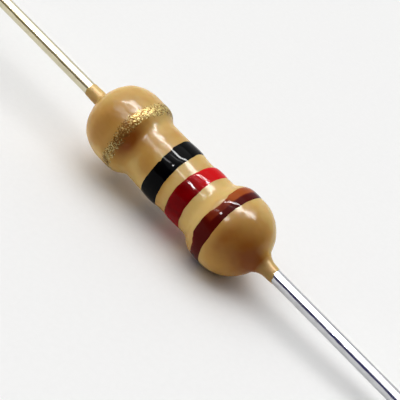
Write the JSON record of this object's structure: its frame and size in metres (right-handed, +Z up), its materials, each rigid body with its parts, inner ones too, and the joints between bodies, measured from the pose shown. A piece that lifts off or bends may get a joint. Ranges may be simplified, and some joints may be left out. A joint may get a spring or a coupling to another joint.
{
  "type": "axial resistor",
  "caption": "Axial film resistor with a dog-bone lacquered body, painted colour bands and long round tinned leads.",
  "frame": {"origin": "on the table, under the middle of the body and within half a millimetre of the middle of the box's base", "axes": "+X along the body towards the brown band's end, +Z up from the table, +Y towards the side that both leads bow to; the body's own axis slopes 4.5 degrees down towards +X"},
  "size_m": [0.0613, 0.0032, 0.0027],
  "materials": {
    "lacquer": "glossy tan epoxy lacquer, brushed on thick, a little translucent and lumpy",
    "tinned_wire": "tinned copper-clad steel wire, bright with a satin drawn surface",
    "gold_paint": "metallic gold paint with visible flakes",
    "black_paint": "glossy black paint under a clear gloss",
    "red_paint": "glossy red paint",
    "brown_paint": "glossy dark brown paint, thin at one edge",
    "ceramic": "unglazed white alumina ceramic",
    "carbon": "dark grey pyrolytic carbon film with a satin sheen",
    "cap_steel": "tin-plated pressed steel"
  },
  "bodies": {
    "root": {"ceramic_rod": "ceramic", "carbon_film": "carbon", "gold_end_cap": "cap_steel", "brown_end_cap": "cap_steel", "gold_end_lead": "tinned_wire", "brown_end_lead": "tinned_wire", "lacquer_coat": "lacquer", "gold_band": "gold_paint", "black_band": "black_paint", "red_band": "red_paint", "brown_band": "brown_paint"}
  },
  "joints": []
}
